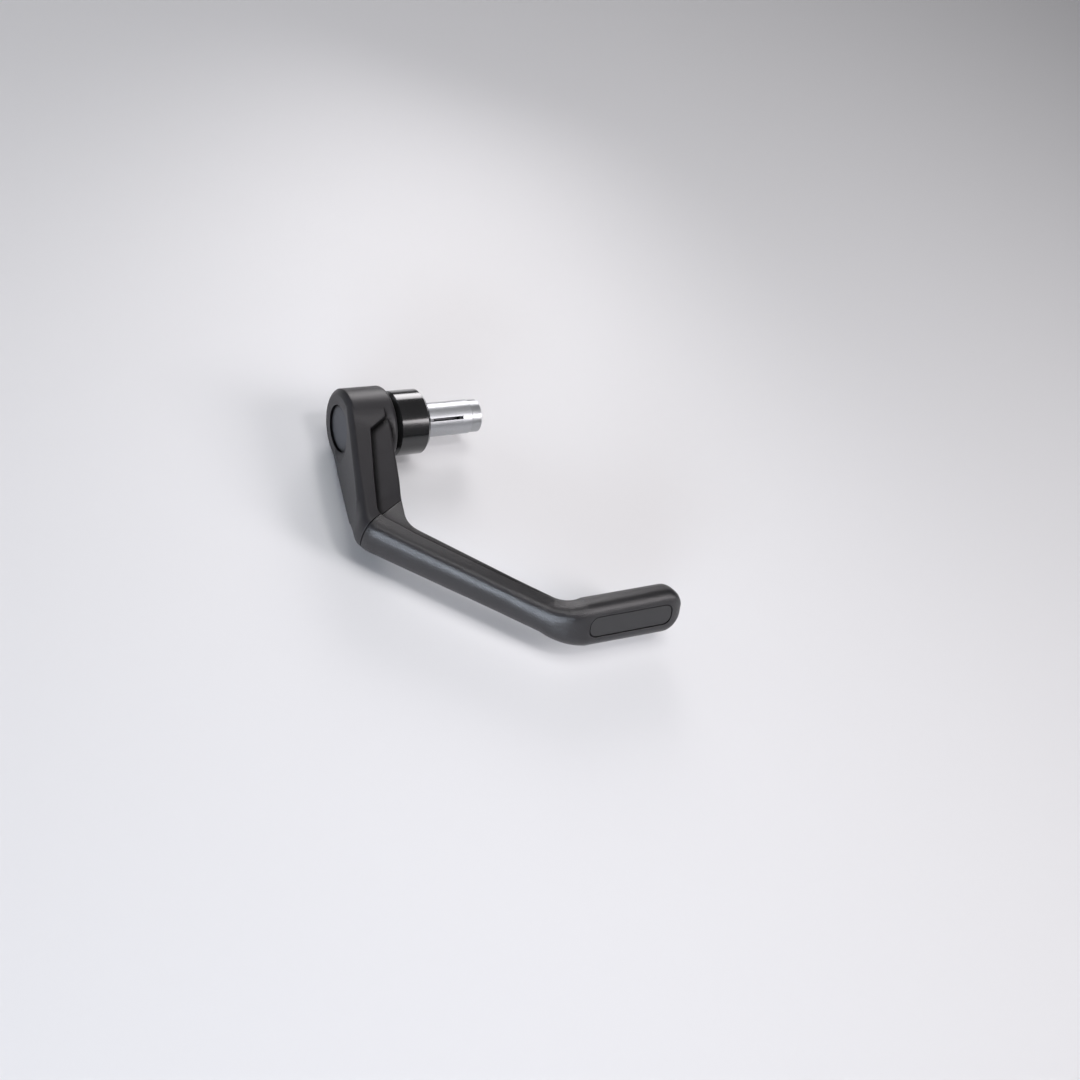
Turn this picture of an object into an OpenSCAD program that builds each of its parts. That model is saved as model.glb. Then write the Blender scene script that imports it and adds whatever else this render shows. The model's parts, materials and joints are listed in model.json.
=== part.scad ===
// Brake lever guard for the right end of a motorcycle handlebar.
// X runs forward, Y inboard along the bar axis, Z up out of the guard's own plane.
// The origin is on the bar axis, where the spacer meets the end of the bar.

/* [Bar end] */
// Outer diameter of the turned spacer
spacer_d = 32; // [26:0.5:34]
// Length of the turned spacer
spacer_l = 17; // [10:0.5:30]
// Bevel at both ends of the spacer
spacer_bevel = 1.6; // [0.5:0.1:2.5]
// Diameter of the spacer's neck against the boss
collar_d = 26; // [22:0.5:30]
// Length of the spacer's neck
collar_l = 1.8; // [0.5:0.1:3]
// Outer diameter of the expander, a sliding fit in the bar
expander_d = 17; // [13:0.5:20]
// Length of the slotted expander sleeve
expander_l = 26; // [18:1:40]

/* [Clamp bolt] */
// Thread diameter of the clamp bolt
bolt_d = 8; // [6:1:8]
// Head diameter of the clamp bolt
bolt_head_d = 13; // [12:0.5:14]
// Height of the clamp bolt's head
bolt_head_h = 8; // [6:0.5:9]
// Diameter of the washer under the head
washer_d = 17; // [15:0.5:18]
// Thickness of the washer
washer_t = 1.6; // [1:0.1:2.5]

/* [Boss] */
// Diameter of the boss on the bar end
boss_d = 38; // [34:0.2:44]
// Length of the boss along the bar
boss_t = 23; // [21:0.2:30]
// Depth along the bar of the rounded outer rims of the boss and the arm
rim_depth = 2.4; // [1.6:0.1:3.2]
// Height of the rounded outer rims of the boss and the arm
rim_h = 2.9; // [2:0.1:3.6]
// Diameter of the end cap
cap_d = 22.4; // [20:0.2:25]
// Thickness of the end cap's disc
cap_t = 2.6; // [1.5:0.1:4]

/* [Arm] */
// Distance from the bar axis forward to the outer corner of the bend
arm_reach = 66; // [58:1:80]
// Angle by which the arm's outer face leans outboard
arm_lean = 12.5; // [6:0.5:18]
// Angle by which the arm's inner edge leans outboard
arm_inner_lean = 10.8; // [4:0.2:14]
// Width of the arm along the bar where it leaves the boss
arm_w = 20.6; // [18:0.1:22]
// Radius of the outer corner of the bend
bend_r = 11; // [8:1:18]
// Distance from the inner corner of the bend back to the joint line
joint_back = 14; // [13:0.5:20]

/* [Bow] */
// Angle between the bow's outer edge and the forward direction
bow_angle = 46.3; // [40:0.1:52]
// Angle by which the bow narrows towards the end section
bow_taper = 1.3; // [0:0.1:2]
// Depth of the bow from its nose to its inner edge
bow_w = 14.7; // [13:0.1:18]
// Height of the bow
bow_h = 17.7; // [16:0.1:22]
// Depth of the rounded nose of the bow
nose = 5.5; // [4.5:0.1:7]
// Width of the flat band behind the nose
band = 3.7; // [2.5:0.1:4.5]
// Depth of the step from the band down to the inner flange
step = 1.4; // [0.6:0.1:2.2]
// Radius of the fillet inside the first bend
fillet_r = 10.5; // [5:0.5:14]

/* [End] */
// Distance from the bar axis forward to the front of the guard
guard_reach = 137.5; // [128:0.5:150]
// Length of the end section along its front
end_l = 63.4; // [58:0.2:80]
// Depth of the end section
end_w = 13.2; // [11:0.1:15]
// Height of the end section
end_h = 22.6; // [20:0.2:28]
// Angle by which the end's front face leans back
end_lean = 25; // [0:1:30]
// Radius of the outer corner of the second bend
sweep_r = 28; // [18:1:40]

/* [Plate] */
// Length of the plate let into the end section
plate_l = 45; // [36:0.5:50]
// Height of the plate
plate_h = 10.4; // [8:0.2:11.4]
// Thickness of the plate
plate_t = 1.4; // [1:0.1:2]

/* [Moulding] */
// Wall thickness of the moulded bow
wall = 3; // [2.2:0.1:3.6]
// Thickness of the ribs in the back of the bow
rib_t = 2; // [1.4:0.1:3]
// Number of ribs across the back of the bow
ribs = 7; // [4:1:10]
// Length of the tongue that joins the arm to the bow
tongue_l = 27; // [20:1:30]
// Thickness of the tongue
tongue_t = 6.6; // [5:0.1:7.5]
// Height of the tongue
tongue_h = 9.4; // [8:0.1:11]
// Thread diameter of the two joint screws
screw_d = 5; // [4:0.5:5]

/* [Hidden] */
$fn = 96;

// Clearances
slip = 0.15;
gap = 0.3;

// Directions in the guard's plane, as [forward, inboard]
arm_dir = [cos(arm_lean), -sin(arm_lean)];
arm_inner_dir = [cos(arm_inner_lean), -sin(arm_inner_lean)];
bow_dir = [cos(bow_angle), sin(bow_angle)];
bow_inner_dir = [cos(bow_angle - bow_taper), sin(bow_angle - bow_taper)];
end_turn = 88.75;
end_dir = [cos(end_turn), sin(end_turn)];

function left_of(d) = [-d[1], d[0]];
function unit(v) = v / norm(v);
function mix(a, b, w) = a + (b - a) * w;
function angle_of(d) = atan2(d[1], d[0]);
// Where the line through p along a meets the line through q along b
function meet(p, a, q, b) =
    p + a * ((q - p) * left_of(b)) / (a * left_of(b));
// Distance from a corner to the tangent points of an arc of radius r
function tangent_len(a, b, r) = r * tan((angle_of(b) - angle_of(a)) / 2);
// Arc of radius r that rounds the corner c between the directions a and b
function corner_arc(c, a, b, r, n) =
    let (from = c - a * tangent_len(a, b, r), centre = from + left_of(a) * r)
    [for (k = [0 : n]) let (t = mix(angle_of(a), angle_of(b), k / n) - 90)
        centre + r * [cos(t), sin(t)]];
function run_len(path, last) =
    last <= 0 ? 0 : norm(path[last] - path[last - 1]) + run_len(path, last - 1);
// Point at the distance d along a path
function along(path, d, k = 0) =
    let (piece = norm(path[k + 1] - path[k]))
    d <= piece || k + 2 >= len(path) ? mix(path[k], path[k + 1], d / piece)
                                     : along(path, d - piece, k + 1);

// Corners of the outer and inner edges
boss_face = -(spacer_l + collar_l + boss_t);
// Depth of the arm's face below the face of the boss where it begins to lean
flush = 0.02;
root = 1;
outer_start = [0, boss_face + flush];
outer_lean = [root, boss_face + flush];
outer_bend = outer_lean + arm_dir * (arm_reach - outer_lean[0]) / cos(arm_lean);
outer_sweep = outer_bend + bow_dir * (guard_reach - outer_bend[0]) / bow_dir[0];
outer_tip = outer_sweep + end_dir * end_l;
inner_start = outer_start + [0, arm_w];
bow_inner = outer_bend + left_of(bow_dir) * bow_w;
end_inner = outer_sweep + left_of(end_dir) * end_w;
inner_bend = meet(inner_start, arm_inner_dir, bow_inner, bow_inner_dir);
inner_sweep = meet(bow_inner, bow_inner_dir, end_inner, end_dir);
inner_tip = outer_tip + left_of(end_dir) * end_w;
inner_sweep_r = sweep_r - end_w;

arc_steps = 12;
outer_bend_arc = corner_arc(outer_bend, arm_dir, bow_dir, bend_r, arc_steps);
outer_sweep_arc = corner_arc(outer_sweep, bow_dir, end_dir, sweep_r, arc_steps);
inner_bend_arc = corner_arc(inner_bend, arm_inner_dir, bow_inner_dir, fillet_r, arc_steps);
inner_sweep_arc = corner_arc(inner_sweep, bow_inner_dir, end_dir, inner_sweep_r, arc_steps);
outer_path = concat([outer_start, outer_lean], outer_bend_arc, outer_sweep_arc, [outer_tip]);
inner_path = concat([inner_start], inner_bend_arc, inner_sweep_arc, [inner_tip]);

// Distances along both edges to the places where the section changes
outer_arc_1 = run_len(outer_path, 2);
outer_arc_1_end = run_len(outer_path, 2 + arc_steps);
outer_end = run_len(outer_path, len(outer_path) - 1);
inner_arc_1_end = run_len(inner_path, 1 + arc_steps);
inner_end = run_len(inner_path, len(inner_path) - 1);
function bow_t(p) = (p - outer_bend) * bow_dir;
function end_t(p) = (p - outer_sweep) * end_dir;
function outer_at_bow(t) = outer_arc_1_end + t - tangent_len(arm_dir, bow_dir, bend_r);
function inner_at_bow(t) = inner_arc_1_end + t - bow_t(inner_bend_arc[arc_steps]);
function outer_at_end(t) = outer_end - (end_l - t);
function inner_at_end(t) = inner_end - (end_l - t);
bow_start_t = bow_t(inner_bend_arc[arc_steps]) + 1;
bow_end_t = min(bow_t(outer_sweep_arc[0]), bow_t(inner_sweep_arc[0])) - 0.5;
end_start_t = end_t(inner_sweep_arc[arc_steps]) + 1;
joint_outer = mix(outer_arc_1, outer_arc_1_end, 0.6);
joint_inner = norm(inner_bend - inner_start) - joint_back;

// One section: place on the outer edge, place on the inner edge, half height, depth and
// height of the rounded nose, its fullness, where the band ends, depth and width of the
// step, radius of the inner edge, and the angle by which the section leans back
boss_r = boss_d / 2;
bow_half = bow_h / 2;
end_half = end_h / 2;
foot = 9.5;
foot_inner = 10.5;
neck = 16;
neck_inner = 18.5;
mid = mix(neck, outer_arc_1, 0.59);
mid_inner = mix(neck_inner, joint_inner, 0.72);
late = outer_arc_1 - 9.5;
late_inner = mix(neck_inner, joint_inner, 0.83);
point = outer_arc_1 - 2.5;
point_inner = mix(neck_inner, joint_inner, 0.92);
arm_step = step + 0.6;
step_w = 1;
neck_head = 9.4;
mid_head = 8.3;
late_head = 8.7;
point_head = 9.4;
edge_r = 1.4;
crisp = 1.4;
full = 2.6;
root_half = sqrt(boss_r * boss_r - root * root) - slip;
foot_half = boss_r - 1.45;
neck_half = boss_r - 1.9;
arm_root = [root, root, root_half, rim_depth, rim_h, crisp, arm_w - 2 * edge_r, arm_step,
            step_w, edge_r, 0];
arm_foot = [foot, foot_inner, foot_half, rim_depth, rim_h, crisp, arm_w - 2 * edge_r, arm_step,
            step_w, edge_r, 0];
arm_neck = [neck, neck_inner, neck_half, rim_depth, rim_h, crisp, neck_head, arm_step,
            step_w, edge_r, 0];
arm_mid = [mid, mid_inner, mix(bow_half, boss_r, 0.41), rim_depth + 0.2, rim_h + 0.2, crisp,
           mid_head, arm_step, step_w, edge_r, 0];
arm_late = [late, late_inner, mix(bow_half, boss_r, 0.28), rim_depth + 0.9, rim_h + 0.8, crisp,
            late_head, arm_step, step_w, edge_r, 0];
arm_point = [point, point_inner, mix(bow_half, boss_r, 0.16), nose - 0.6,
             mix(bow_half, boss_r, 0.16), full, point_head, arm_step, step_w, edge_r, 0];
joint = [joint_outer, joint_inner, bow_half + 0.5, nose + 0.6, bow_half + 0.5, full - 0.2,
         nose + 1 + band, step + 0.2, step_w, edge_r, 0];
bow_start = [outer_at_bow(bow_start_t), inner_at_bow(bow_start_t), bow_half, nose, bow_half,
             2.4, nose + band, step, step_w, edge_r, 0];
fade_t = mix(bow_start_t, bow_end_t, 0.72);
far_half = bow_half - 0.8;
bow_fade = [outer_at_bow(fade_t), inner_at_bow(fade_t), far_half + 0.2, nose, far_half + 0.2, 2.4,
            nose + band, step, step_w, edge_r, 0];
bow_end = [outer_at_bow(bow_end_t), inner_at_bow(bow_end_t), far_half, nose, far_half,
           2.3, nose + band, step / 3, step_w, edge_r + 1, end_lean * 0.3];
end_round = 5;
end_band = end_w - end_round - step_w - 0.2;
end_root = [outer_at_end(end_start_t), inner_at_end(end_start_t), end_half - 0.3, end_round,
            end_round + 0.4, 2.2, end_band, 0, step_w, end_round, end_lean * 0.95];
end_tip = [outer_end, inner_end, end_half, end_round, end_round + 0.2, 2.2, end_band, 0,
           step_w, end_round, end_lean];

nose_steps = 8;
corner_steps = 3;
function section_half(w, s) =
    concat([for (k = [0 : nose_steps]) let (t = 90 * k / nose_steps)
                [s[3] * (1 - pow(cos(t), 2 / s[5])), s[2] - s[4] * (1 - pow(sin(t), 2 / s[5]))]],
           [[s[6], s[2]], [s[6] + s[8], s[2] - s[7]]],
           [for (k = [0 : corner_steps]) let (t = 90 * k / corner_steps)
                [w - s[9] * (1 - sin(t)), s[2] - s[7] - s[9] * (1 - cos(t))]]);
function section(w, s) =
    let (upper = section_half(w, s), n = len(upper))
    concat(upper, [for (k = [n - 1 : -1 : 0]) [upper[k][0], -upper[k][1]]]);
// Ring of points in space for a section, shrunk about its middle by depth and height
function ring(s, outline, depth = 1, height = 1) =
    let (o = along(outer_path, s[0]), i = along(inner_path, s[1]), w = norm(i - o),
         out = unit(o - i), mid = (o + i) / 2, lean = s[10])
    [for (p = outline)
        let (u = (w / 2 - p[0]) * depth, z = p[1] * height)
        let (across = u * cos(lean) - z * sin(lean))
        [mid[0] + out[0] * across, mid[1] + out[1] * across, u * sin(lean) + z * cos(lean)]];
function width_at(s) = norm(along(inner_path, s[1]) - along(outer_path, s[0]));
function full_ring(s, depth = 1, height = 1) = ring(s, section(width_at(s), s), depth, height);
function span(a, b, n) = [for (k = [0 : n - 1]) mix(a, b, k / n)];

// Closed skin through a list of rings with equal numbers of points
module skin(rings) {
    n = len(rings[0]);
    m = len(rings);
    sides = [for (j = [0 : m - 2]) for (k = [0 : n - 1]) let (l = (k + 1) % n)
        each [[j * n + k, j * n + l, (j + 1) * n + l], [j * n + k, (j + 1) * n + l, (j + 1) * n + k]]];
    first = [[for (k = [n - 1 : -1 : 0]) k]];
    last = [[for (k = [0 : n - 1]) (m - 1) * n + k]];
    polyhedron([for (r = rings) each r], concat(first, sides, last), convexity = 6);
}

arm_sections = concat(span(arm_root, arm_foot, 3), span(arm_foot, arm_neck, 4),
                      span(arm_neck, arm_mid, 6), span(arm_mid, arm_late, 3),
                      span(arm_late, arm_point, 6), span(arm_point, joint, 6));
bow_sections = concat(span(joint, bow_start, 12), span(bow_start, bow_fade, 4),
                      span(bow_fade, bow_end, 6), span(bow_end, end_root, 12),
                      [end_root]);

// Bevel along both edges of the joint line between the arm and the bow
joint_bevel = 0.3;
joint_w = width_at(joint);
arm_side = mix(arm_point, joint, 1 - joint_bevel / (joint[0] - arm_point[0]));
bow_side = mix(joint, bow_start, joint_bevel / (bow_start[0] - joint[0]));
joint_ring = full_ring(joint, 1 - 2 * joint_bevel / joint_w, 1 - joint_bevel / joint[2]);

tip_r = end_half * 0.82;
tip_from = 1 - tip_r / (outer_end - end_root[0]);
tip_sweep = 78;
tip_steps = 7;
function end_at(w) = mix(end_root, end_tip, w);

// Cored back of the bow, open on the inner side
pocket_skin = plate_t + gap / 2 + wall;
pocket_start = mix(bow_start, bow_fade, (tongue_l + wall - bow_start_t) / (fade_t - bow_start_t));
pocket_end = end_at(tip_from - wall / (outer_end - end_root[0]));
function pocket_section(w, s) =
    let (z = s[2] - s[7] - wall, c = 2, out = w + 2)
    [[pocket_skin, z - c], [pocket_skin + c, z], [out, z],
     [out, -z], [pocket_skin + c, -z], [pocket_skin, c - z]];
function pocket_ring(s) = ring(s, pocket_section(width_at(s), s));

// Seats along the bar axis
boss_top = 2.5;
cap_sink = 0.9;
cap_recess = cap_t + cap_sink;
// Dished seat that clears the leaning face from the cap, and its spread over its height
dish_r = cap_d / 2 + gap + 0.6;
dish_h = 5;
dish_spread = 1.6;
head_bore_d = washer_d + 2;
cap_plug_l = 1.5;
head_room = 0.5;
washer_y = boss_face + cap_recess + cap_plug_l + head_room + bolt_head_h;
seat_y = washer_y + washer_t;
cone_lip = 3;
cone_l = 6;
cone_small_d = bolt_d + 3;
cone_d = expander_d - 2 * gap;
sleeve_mouth = 0.9;
taper_d = expander_d - 2 * (sleeve_mouth + slip);
sleeve_y = 0.2;
cone_seat = cone_lip + gap - sleeve_y;
nut_y = sleeve_y + expander_l + gap;
nut_l = cone_lip + 2;
bolt_end = nut_y + nut_l + 1.5;

// Joint between the arm and the bow
tongue_root = 1;
tongue_mid = bow_w / 2;
screw_seat = tongue_mid + tongue_t / 2 + 1.8;
screw_head_d = screw_d * 1.7;
screw_head_h = screw_d * 0.5;
screw_l = screw_seat - tongue_mid + tongue_t / 2;
screw_at = [tongue_l * 0.42, tongue_l * 0.85];

// Turns the local z axis onto the bar axis, pointing inboard, at the place y
module on_bar(y) translate([0, y, 0]) rotate([-90, 0, 0]) children();
// Local x runs along the bow from the outer corner, y up, z out of the nose
module on_bow(along_bow, depth)
    translate([outer_bend[0], outer_bend[1], 0]) rotate([90, 0, angle_of(bow_dir)])
        translate([along_bow, 0, -depth]) children();
// Local x runs along the end section, y up the leaning front face, z out of it
module on_end_face(w)
    let (s = end_at(w), o = along(outer_path, s[0]), i = along(inner_path, s[1]), m = (o + i) / 2)
    translate([m[0], m[1], 0]) rotate([90 - s[10], 0, end_turn])
        translate([0, 0, norm(i - o) / 2]) children();

// Turned blank with a crisp round at its foot and a plain round at its top, its axis on z
module rounded_disc(r, l, top) {
    rim = [for (k = [0 : nose_steps]) let (t = 90 * k / nose_steps)
        [r - rim_h * (1 - pow(sin(t), 2 / crisp)), rim_depth * (1 - pow(cos(t), 2 / crisp))]];
    rotate_extrude() {
        polygon(concat([[0, 0]], rim, [[r, l - top], [r - top, l], [0, l]]));
        translate([r - top, l - top]) circle(top);
    }
}
// Turned blank with bevelled rims, its axis on z
module bevelled_disc(d, l, bevel) {
    rotate_extrude()
        polygon([[0, 0], [d / 2 - bevel, 0], [d / 2, bevel], [d / 2, l - bevel],
                 [d / 2 - bevel, l], [0, l]]);
}
module hex_socket(across, depth) cylinder(d = across / cos(30), h = depth, $fn = 6);
// Flat outline with round corners
module round_rect(l, h, r) {
    square([l - 2 * r, h], center = true);
    square([l, h - 2 * r], center = true);
    for (x = [-1, 1], y = [-1, 1]) translate([x * (l / 2 - r), y * (h / 2 - r)]) circle(r);
}

module arm_body() {
    skin(concat([for (s = arm_sections) full_ring(s)], [full_ring(arm_side), joint_ring]));
}
module tongue(grow = 0) {
    on_bow(tongue_root, tongue_mid + tongue_t / 2 + grow)
        linear_extrude(tongue_t + 2 * grow)
            translate([0, -tongue_h / 2 - grow])
                square([tongue_l - tongue_root + grow, tongue_h + 2 * grow]);
}
module screw_holes(d, from, l) {
    for (t = screw_at) on_bow(t, from) cylinder(d = d, h = l);
}

module mount_arm() color("#3c3c3e") {
    difference() {
        union() {
            on_bar(boss_face) rounded_disc(boss_r, boss_t, boss_top);
            arm_body();
            tongue();
        }
        on_bar(boss_face - dish_h)
            cylinder(r1 = dish_r + dish_h * dish_spread, r2 = dish_r, h = dish_h);
        on_bar(boss_face - 1) cylinder(d = cap_d + 2 * gap, h = cap_recess + 1);
        on_bar(boss_face) cylinder(d = head_bore_d, h = seat_y - boss_face);
        on_bar(boss_face) cylinder(d = bolt_d + 2 * gap, h = boss_t + 1);
        screw_holes(screw_d + slip, tongue_mid + tongue_t / 2 + 1, tongue_t + 2);
    }
}

module bow_body() {
    tip = [for (k = [0 : tip_steps]) let (t = tip_sweep * k / tip_steps)
        full_ring(end_at(mix(tip_from, 1, sin(t) / sin(tip_sweep))), 0.4 + 0.6 * cos(t), cos(t))];
    skin(concat([joint_ring, full_ring(bow_side)],
                [for (k = [1 : len(bow_sections) - 1]) full_ring(bow_sections[k])], tip));
}
module rib(d) {
    p = along(outer_path, d);
    q = along(outer_path, d + 1);
    translate([p[0], p[1], 0]) rotate([0, 0, angle_of(q - p)])
        cube([rib_t, 4 * bow_w, 3 * bow_h], center = true);
}
module back_pockets() {
    rib_step = (pocket_end[0] - pocket_start[0]) / (ribs + 1);
    difference() {
        skin([for (s = concat(span(pocket_start, bow_fade, 2), span(bow_fade, bow_end, 3),
                              span(bow_end, end_root, 10), span(end_root, pocket_end, 2),
                              [pocket_end])) pocket_ring(s)]);
        for (k = [1 : ribs]) rib(pocket_start[0] + k * rib_step);
    }
}
module guard_bow() color("#2b2b2d") {
    difference() {
        bow_body();
        back_pockets();
        tongue(slip);
        screw_holes(screw_d + 2 * slip, screw_seat + 1, 2 * tongue_t);
        screw_holes(screw_head_d + 2 * gap, screw_seat + 2 * bow_w, 2 * bow_w);
        on_end_face(plate_at) translate([0, 0, -plate_t - slip])
            linear_extrude(plate_t + 2) round_rect(plate_l + 2 * gap, plate_h + 2 * gap,
                                                   plate_r + gap);
    }
}

// Place of the plate's middle on the end section
plate_r = plate_h * 0.41;
plate_from_tip = 7;
plate_at = (end_l - end_start_t - plate_l / 2 - plate_from_tip) / (end_l - end_start_t);
plate_rim = 0.3;
module emblem_plate() color("#47484a") {
    on_end_face(plate_at) translate([0, 0, -plate_t - slip]) {
        linear_extrude(plate_t - plate_rim) round_rect(plate_l, plate_h, plate_r);
        linear_extrude(plate_t)
            round_rect(plate_l - 2 * plate_rim, plate_h - 2 * plate_rim, plate_r - plate_rim);
    }
}

cap_rim = 0.4;
cap_plug_wall = 2;
module end_cap() color("#4a4b4e") {
    on_bar(boss_face + cap_sink) difference() {
        union() {
            bevelled_disc(cap_d, cap_t, cap_rim);
            cylinder(d = head_bore_d - 2 * slip, h = cap_t + cap_plug_l);
        }
        translate([0, 0, cap_t])
            cylinder(d = head_bore_d - 2 * slip - 2 * cap_plug_wall, h = cap_plug_l + 1);
    }
}

module clamp_bolt() color("#2f2f31") {
    difference() {
        union() {
            on_bar(washer_y - bolt_head_h) bevelled_disc(bolt_head_d, bolt_head_h, 0.6);
            on_bar(washer_y - 1) cylinder(d = bolt_d, h = bolt_end - washer_y);
            on_bar(bolt_end - 1) cylinder(d1 = bolt_d, d2 = bolt_d - 1.6, h = 1);
        }
        on_bar(washer_y - bolt_head_h - 1) hex_socket(bolt_d * 0.75, bolt_head_h * 0.55 + 1);
    }
}

module bolt_washer() color("#8b8d90") {
    on_bar(washer_y) difference() {
        bevelled_disc(washer_d, washer_t, 0.2);
        translate([0, 0, -1]) cylinder(d = bolt_d + gap, h = washer_t + 2);
    }
}

module bar_spacer() color("#0c0c0d") {
    on_bar(-spacer_l) difference() {
        union() {
            bevelled_disc(spacer_d, spacer_l, spacer_bevel);
            translate([0, 0, -collar_l]) cylinder(d = collar_d, h = collar_l + 1);
        }
        translate([0, 0, -collar_l - 1])
            cylinder(d = bolt_d + 2 * gap, h = collar_l + spacer_l + 2);
        translate([0, 0, spacer_l - cone_seat])
            cylinder(d = expander_d + 2 * gap, h = cone_seat + 1);
    }
}

// Turned piece with a lip of width d that tapers to cone_small_d away from the lip
module cone_piece(d, lip, bore) {
    difference() {
        rotate_extrude()
            polygon([[0, 0], [d / 2, 0], [d / 2, lip], [taper_d / 2, lip],
                     [cone_small_d / 2, lip + cone_l], [0, lip + cone_l]]);
        translate([0, 0, -1]) cylinder(d = bore, h = lip + cone_l + 2);
    }
}
module front_cone() color("#9a9c9f")
    on_bar(-cone_seat) cone_piece(cone_d, cone_lip, bolt_d + 2 * gap);
module cone_nut() color("#9a9c9f")
    on_bar(nut_y + nut_l) rotate([180, 0, 0]) cone_piece(cone_d, nut_l, bolt_d + slip);

sleeve_bore = cone_small_d + 1;
slot_w = 1.6;
module expander_sleeve() color("#a4a6a9") {
    difference() {
        on_bar(sleeve_y) cylinder(d = expander_d, h = expander_l);
        on_bar(sleeve_y - 1) cylinder(d = sleeve_bore, h = expander_l + 2);
        on_bar(-cone_seat - slip) cone_flare(cone_lip);
        on_bar(nut_y + nut_l + slip) rotate([180, 0, 0]) cone_flare(nut_l);
        for (k = [0 : 1]) rotate([0, 45 + 90 * k, 0]) {
            translate([-expander_d, sleeve_y - 1, -slot_w / 2])
                cube([2 * expander_d, expander_l * 0.8 + 1, slot_w]);
        }
    }
}
// Taper cut in the end of the sleeve, a clearance wider than the cone
module cone_flare(lip) {
    rotate_extrude()
        polygon([[0, 0], [taper_d / 2 + slip, 0], [taper_d / 2 + slip, lip],
                 [cone_small_d / 2 + slip, lip + cone_l], [0, lip + cone_l]]);
}

module joint_screws() color("#707276") {
    for (t = screw_at) on_bow(t, screw_seat) difference() {
        union() {
            translate([0, 0, -screw_head_h]) bevelled_disc(screw_head_d, screw_head_h, 0.5);
            cylinder(d = screw_d, h = screw_l);
        }
        translate([0, 0, -screw_head_h - 1]) hex_socket(screw_d * 0.6, screw_head_h * 0.7 + 1);
    }
}

mount_arm();
guard_bow();
emblem_plate();
end_cap();
clamp_bolt();
bolt_washer();
bar_spacer();
front_cone();
expander_sleeve();
cone_nut();
joint_screws();
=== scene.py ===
import bpy, bmesh, json, math
from mathutils import Matrix, Vector


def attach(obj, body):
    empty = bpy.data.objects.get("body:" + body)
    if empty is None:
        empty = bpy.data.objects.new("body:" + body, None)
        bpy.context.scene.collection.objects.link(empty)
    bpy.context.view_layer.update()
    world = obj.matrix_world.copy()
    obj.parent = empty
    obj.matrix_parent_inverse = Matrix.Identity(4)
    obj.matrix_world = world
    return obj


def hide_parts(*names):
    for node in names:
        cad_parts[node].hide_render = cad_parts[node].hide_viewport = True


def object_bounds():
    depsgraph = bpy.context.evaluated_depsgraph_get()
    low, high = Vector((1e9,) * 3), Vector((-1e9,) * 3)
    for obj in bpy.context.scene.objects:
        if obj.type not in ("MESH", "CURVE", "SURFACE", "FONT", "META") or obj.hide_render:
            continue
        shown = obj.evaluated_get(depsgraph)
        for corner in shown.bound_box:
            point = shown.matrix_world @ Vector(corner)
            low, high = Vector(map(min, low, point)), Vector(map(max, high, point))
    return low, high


# Lengths are in metres, angles in degrees, colours linear, texture scales in cells per metre.
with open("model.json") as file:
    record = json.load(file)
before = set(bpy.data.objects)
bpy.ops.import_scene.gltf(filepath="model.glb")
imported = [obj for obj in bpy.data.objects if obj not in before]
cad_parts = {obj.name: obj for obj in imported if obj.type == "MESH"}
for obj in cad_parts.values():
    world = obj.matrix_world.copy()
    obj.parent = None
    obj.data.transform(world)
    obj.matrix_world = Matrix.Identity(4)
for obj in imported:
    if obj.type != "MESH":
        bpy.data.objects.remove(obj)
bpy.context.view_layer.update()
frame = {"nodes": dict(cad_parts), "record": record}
nodes = frame["nodes"]
slots = {s["node"]: s["material_slot"] for s in frame["record"]["subparts"]}

# ---------------------------------------------------------------- materials
RAYS = 8                     # samples of the bevel and ambient occlusion nodes
PAINTED_SHADE_REACH = 0.0034              # how far the painted shade of a crease reaches out of its corner
PAINTED_EDGE_LIGHTNESS = 2.4             # how much lighter the painted highlight makes a rounded edge than its face
CELL_DEPTH = 0.00018         # depth of a moulded grain's cells
FINE_DEPTH = 0.00008         # depth of the finest grain and of the powder coat
METAL_DEPTH = 0.00004        # depth of the marks on bare metal
GLOSS_DEPTH = 0.00002        # depth of the marks under gloss
DARK_TONE, LIGHT_TONE = 0.88, 1.1


def new_mat(name):
    m = bpy.data.materials.new(name)
    m.use_nodes = True
    t = m.node_tree
    for n in list(t.nodes):
        t.nodes.remove(n)
    out = t.nodes.new("ShaderNodeOutputMaterial")
    bsdf = t.nodes.new("ShaderNodeBsdfPrincipled")
    t.links.new(bsdf.outputs[0], out.inputs[0])
    return m, t, bsdf


def coords(t):
    return t.nodes.new("ShaderNodeTexCoord").outputs["Object"]


def noise(t, scale, detail=3.0, rough=0.6):
    n = t.nodes.new("ShaderNodeTexNoise")
    n.inputs["Scale"].default_value = scale
    n.inputs["Detail"].default_value = detail
    n.inputs["Roughness"].default_value = rough
    t.links.new(coords(t), n.inputs["Vector"])
    return n.outputs["Fac"]


def cells(t, scale):
    n = t.nodes.new("ShaderNodeTexVoronoi")
    n.inputs["Scale"].default_value = scale
    t.links.new(coords(t), n.inputs["Vector"])
    return n.outputs["Distance"]


def turning_marks(t, scale):
    """Fine bands across the axis of the bar, as a lathe leaves them."""
    n = t.nodes.new("ShaderNodeTexWave")
    n.bands_direction = "Y"
    n.inputs["Scale"].default_value = scale
    t.links.new(coords(t), n.inputs["Vector"])
    return n.outputs["Fac"]


def ramp(t, fac, stops):
    n = t.nodes.new("ShaderNodeValToRGB")
    el = n.color_ramp.elements
    el[0].position, el[0].color = stops[0][0], (*stops[0][1], 1)
    el[1].position, el[1].color = stops[-1][0], (*stops[-1][1], 1)
    for position, colour in stops[1:-1]:
        el.new(position).color = (*colour, 1)
    t.links.new(fac, n.inputs["Fac"])
    return n.outputs["Color"]


def between(t, fac, low, high, margin=0.3):
    """Ramp from one colour to another over the middle of a texture's range."""
    return ramp(t, fac, [(margin, low), (1 - margin, high)])


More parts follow.
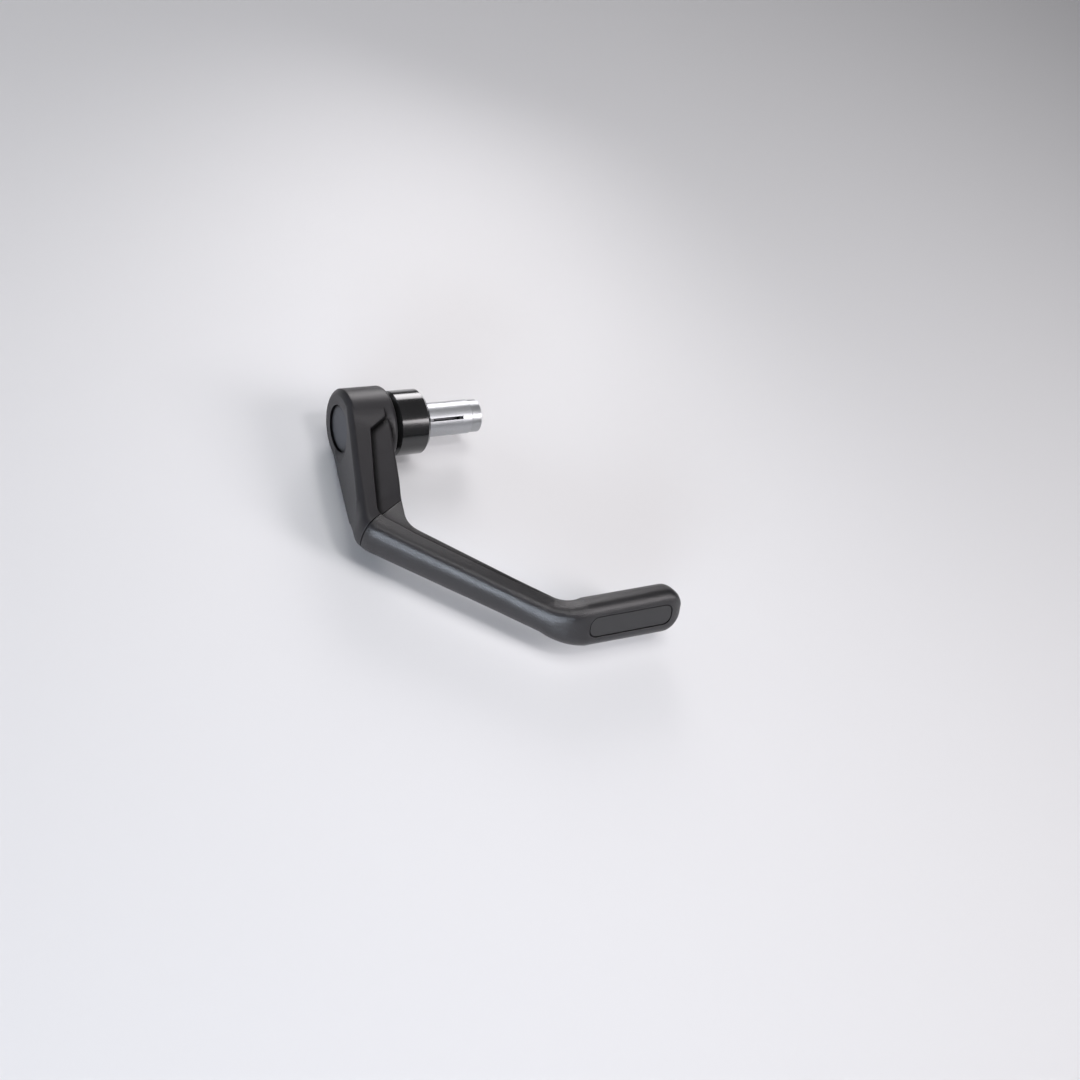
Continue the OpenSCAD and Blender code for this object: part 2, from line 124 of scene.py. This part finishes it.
def bump(t, height, strength, distance, normal=None):
    n = t.nodes.new("ShaderNodeBump")
    n.inputs["Strength"].default_value = strength
    n.inputs["Distance"].default_value = distance
    t.links.new(height, n.inputs["Height"])
    if normal is not None:
        t.links.new(normal, n.inputs["Normal"])
    return n.outputs["Normal"]


def grey(v):
    return (v, v, v)


def toned(colour, factor):
    return tuple(c * factor for c in colour)


def edge_normal(t, radius):
    n = t.nodes.new("ShaderNodeBevel")
    n.samples = RAYS
    n.inputs["Radius"].default_value = radius
    return n.outputs["Normal"]


def paint_crease_shade_and_edge_highlight(t, b, colour, normal, shade_reach=PAINTED_SHADE_REACH, light=PAINTED_EDGE_LIGHTNESS):
    """Paints shade into a finish's colour and reflections in the creases, and paints a
    highlight along the rounded edges.
    """
    ao = t.nodes.new("ShaderNodeAmbientOcclusion")
    ao.samples = RAYS
    ao.inputs["Distance"].default_value = shade_reach
    # painted shade by how open a point is: pockets stay readable, grooves and steps go nearly
    # black, open faces keep their colour
    painted_crease_shade = ramp(t, ao.outputs["AO"], [(0.45, grey(0.30)), (0.62, grey(0.05)),
                                      (0.86, grey(0.05)), (0.975, grey(1.0))])
    geo = t.nodes.new("ShaderNodeNewGeometry")
    dot = t.nodes.new("ShaderNodeVectorMath")
    dot.operation = "DOT_PRODUCT"
    t.links.new(geo.outputs["Normal"], dot.inputs[0])
    t.links.new(normal, dot.inputs[1])
    # painted highlight: lighter where the bevel's normal turns from the surface normal, at
    # convex and concave edges alike
    edge = ramp(t, dot.outputs["Value"], [(0.90, grey(light)), (0.99, grey(1.0))])
    # the painted crease shade also tints the reflections down
    t.links.new(painted_crease_shade, b.inputs["Specular Tint"])
    # multiplies the painted crease shade and the painted edge highlight into the colour
    for other in (painted_crease_shade, edge):
        mix = t.nodes.new("ShaderNodeMix")
        mix.data_type = "RGBA"
        mix.blend_type = "MULTIPLY"
        mix.inputs["Factor"].default_value = 1.0
        t.links.new(colour, mix.inputs["A"])
        t.links.new(other, mix.inputs["B"])
        colour = mix.outputs["Result"]
    t.links.new(colour, b.inputs["Base Color"])


def powder_coat(name):
    """Satin powder coat on a casting: fine speckle, slow change of tone, painted highlight on
    the edges and painted shade in the creases.
    """
    m, t, b = new_mat(name)
    fine = noise(t, 2100)
    broad = noise(t, 70)
    edge = edge_normal(t, 0.0006)
    base = between(t, broad, (0.0130, 0.0120, 0.0133), (0.0180, 0.0166, 0.0183))
    # painted shade in the creases and painted highlight on the edges of the powder coat
    paint_crease_shade_and_edge_highlight(t, b, base, edge, light=2.6)
    t.links.new(between(t, fine, grey(0.36), grey(0.46)), b.inputs["Roughness"])
    t.links.new(bump(t, fine, 0.3, FINE_DEPTH, edge), b.inputs["Normal"])
    b.inputs["Specular IOR Level"].default_value = 0.42
    return m


def grained(name, base, rough, grain, strength, edge, shade_reach=PAINTED_SHADE_REACH):
    """Moulded plastic: cells of grain with a finer grain on them."""
    m, t, b = new_mat(name)
    coarse = cells(t, grain)
    fine = noise(t, grain * 1.6)
    broad = noise(t, 45, 2, 0.5)
    soft = edge_normal(t, edge)
    tone = between(t, broad, toned(base, DARK_TONE), toned(base, LIGHT_TONE))
    # painted shade in the creases and painted highlight on the edges of the plastic
    paint_crease_shade_and_edge_highlight(t, b, tone, soft, shade_reach)
    t.links.new(between(t, fine, grey(rough - 0.07), grey(rough + 0.07)), b.inputs["Roughness"])
    relief = bump(t, coarse, strength, CELL_DEPTH, soft)
    t.links.new(bump(t, fine, strength * 0.6, FINE_DEPTH, relief), b.inputs["Normal"])
    b.inputs["Specular IOR Level"].default_value = 0.65
    return m


def gloss_turned(name):
    """Black gloss on a turned part, with a slow change of sheen and faint turning marks."""
    m, t, b = new_mat(name)
    marks = turning_marks(t, 900)
    smear = noise(t, 35, 2, 0.5)
    t.links.new(between(t, smear, grey(0.006), grey(0.010)), b.inputs["Base Color"])
    t.links.new(between(t, smear, grey(0.13), grey(0.18)), b.inputs["Roughness"])
    b.inputs["Coat Weight"].default_value = 0.5
    b.inputs["Coat Roughness"].default_value = 0.12
    t.links.new(bump(t, marks, 0.06, GLOSS_DEPTH), b.inputs["Normal"])
    return m


def metal(name, base, rough, turned=True):
    """Bare or blackened metal, with turning marks or with a fine grain."""
    m, t, b = new_mat(name)
    b.inputs["Metallic"].default_value = 1.0
    fine = noise(t, 1500)
    t.links.new(between(t, fine, toned(base, DARK_TONE), base), b.inputs["Base Color"])
    t.links.new(between(t, fine, grey(rough - 0.07), grey(rough + 0.09), 0.25),
                b.inputs["Roughness"])
    marks, strength = (turning_marks(t, 700), 0.15) if turned else (fine, 0.2)
    t.links.new(bump(t, marks, strength, METAL_DEPTH), b.inputs["Normal"])
    return m


def plain(name, colour, rough=0.8):
    m, _, b = new_mat(name)
    b.inputs["Base Color"].default_value = (*colour, 1)
    b.inputs["Roughness"].default_value = rough
    return m


MATS = {
    "cast_black": powder_coat("cast_black"),
    # the plastic's painted crease shade reaches farther, so the step on the bow reads as a line
    "moulded_black": grained("moulded_black", (0.0085, 0.0077, 0.0087), rough=0.34, grain=1900,
                             strength=0.6, edge=0.0005, shade_reach=0.006),
    "plate_grey": grained("plate_grey", (0.0125, 0.0118, 0.0120), rough=0.55, grain=4200,
                          strength=0.3, edge=0.0002),
    "cap_black": grained("cap_black", (0.024, 0.027, 0.035), rough=0.40, grain=3600,
                         strength=0.2, edge=0.0003),
    "black_steel": metal("black_steel", (0.05, 0.05, 0.054), rough=0.38, turned=False),
    "zinc_steel": metal("zinc_steel", (0.42, 0.43, 0.44), rough=0.36),
    "gloss_anodised": gloss_turned("gloss_anodised"),
    "plain_aluminium": metal("plain_aluminium", (0.46, 0.47, 0.485), rough=0.38),
}

for name, o in nodes.items():
    o.data.materials.clear()
    o.data.materials.append(MATS[slots[name]])

# ---------------------------------------------------------------- smooth shading
WELD = 1e-6                  # corners nearer than this are one corner
SLIVER = 2e-5                # edges shorter than this go
FLAT = math.radians(0.4)     # facets that turn less than this are one face
SHARP = math.radians(34)     # edges that turn more than this stay creases


def moulded(name):
    """Shows a lofted node as a copy of its own form, rounds smooth and creases sharp."""
    bm = bmesh.new()
    bm.from_mesh(nodes[name].data)
    for layer in list(bm.loops.layers.uv):
        bm.loops.layers.uv.remove(layer)
    bmesh.ops.remove_doubles(bm, verts=bm.verts, dist=WELD)
    bmesh.ops.dissolve_degenerate(bm, edges=bm.edges, dist=SLIVER)
    bmesh.ops.dissolve_limit(bm, angle_limit=FLAT, verts=bm.verts, edges=bm.edges)
    for f in bm.faces:
        f.smooth = True
    for e in bm.edges:
        e.smooth = len(e.link_faces) == 2 and e.calc_face_angle(0) < SHARP
    mesh = bpy.data.meshes.new(name + "_skin")
    bm.to_mesh(mesh)
    bm.free()
    mesh.materials.append(MATS[slots[name]])
    o = bpy.data.objects.new(name + "_skin", mesh)
    bpy.context.scene.collection.objects.link(o)
    o.modifiers.new("weighted", "WEIGHTED_NORMAL").keep_sharp = True
    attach(o, "root")
    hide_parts(name)


moulded("mount_arm")
moulded("guard_bow")

# ---------------------------------------------------------------- stage
FLOOR_HALF = 6.0             # half the floor's side
FLOOR_GAP = 0.0005           # air between the floor and the lowest point of the part

lo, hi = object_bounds()
floor_z = lo[2] - FLOOR_GAP
floor_mesh = bpy.data.meshes.new("floor")
floor_mesh.from_pydata([(-FLOOR_HALF, -FLOOR_HALF, floor_z), (FLOOR_HALF, -FLOOR_HALF, floor_z),
                        (FLOOR_HALF, FLOOR_HALF, floor_z), (-FLOOR_HALF, FLOOR_HALF, floor_z)],
                       [], [(0, 1, 2, 3)])
floor = bpy.data.objects.new("floor", floor_mesh)
bpy.context.scene.collection.objects.link(floor)
floor_mesh.materials.append(plain("floor", (0.78, 0.78, 0.785)))

world = bpy.data.worlds.new("studio")
bpy.context.scene.world = world
world.use_nodes = True
background = world.node_tree.nodes["Background"]
background.inputs["Color"].default_value = (0.97, 0.95, 1.0, 1)
background.inputs["Strength"].default_value = 0.18

# ---------------------------------------------------------------- camera
# The camera's axes and place come from a fit to the photograph's view.
RIGHT = Vector((0.4119, 0.8566, 0.3108))
BACK = Vector((0.4977, -0.4972, 0.7107))
EYE = (0.3689, -0.2551, 0.4085)
SENSOR = 36.0                # millimetres
FOCAL_PX, FRAME_PX = 1213.09, 1080.0

cam = bpy.data.cameras.new("camera")
cam_o = bpy.data.objects.new("camera", cam)
bpy.context.scene.collection.objects.link(cam_o)
back = BACK.normalized()
up = back.cross(RIGHT.normalized()).normalized()
right = up.cross(back)
cam_o.matrix_world = Matrix([(right[i], up[i], back[i], EYE[i]) for i in range(3)]
                            + [(0, 0, 0, 1)])
cam.sensor_width = SENSOR
cam.lens = SENSOR * FOCAL_PX / FRAME_PX
cam.clip_start = 0.01
bpy.context.scene.camera = cam_o

# ---------------------------------------------------------------- lamps
CENTRE = Vector((0.055, -0.01, 0.0))
WARM = (1.0, 0.97, 0.99)
ROSE = (1.0, 0.96, 0.98)
BLUE = (0.80, 0.90, 1.0)
COOL = (0.80, 0.88, 1.0)
WHITE = (1, 1, 1)


def area(name, where, size, power, colour, aim=CENTRE, size_y=None, spread=180):
    """Area lamp at a point, turned to another; watts, metres, and its cone in degrees."""
    d = bpy.data.lights.new(name, "AREA")
    d.energy = power
    d.color = colour
    d.size = size
    d.spread = math.radians(spread)
    if size_y:
        d.shape = "RECTANGLE"
        d.size_y = size_y
    o = bpy.data.objects.new(name, d)
    bpy.context.scene.collection.objects.link(o)
    o.location = where
    o.rotation_euler = (Vector(aim) - Vector(where)).to_track_quat("-Z", "Y").to_euler()


# grazing light along the top of the boss, and the stripes on the turned spacer
area("top", (-0.40, 0.20, 0.24), 0.24, 0.20, WARM, aim=(0.0, 0.0, 0.02), spread=70)
area("right", CENTRE + Vector((0.96, 0.936, 0.88)), 0.50, 5.0, ROSE, size_y=0.80, spread=120)
# soft fill from the outer side, and the low lamp that draws the highlight along the nose
area("left", CENTRE + Vector((-0.60, -0.70, 0.39)), 0.6, 0.6, BLUE)
area("front", CENTRE + Vector((0.76, -0.63, 0.14)), 0.72, 2.0, COOL, size_y=0.27, spread=70)
# the bright spot on the second bend, and the even light of the whole floor
area("spot", CENTRE + Vector((0.367, 0.14, 0.925)), 0.14, 0.75, WARM, spread=120)
area("overhead", CENTRE + Vector((0.0, 0.0, 2.4)), 1.0, 12.0, WHITE)

bpy.context.scene.view_settings.view_transform = "Standard"
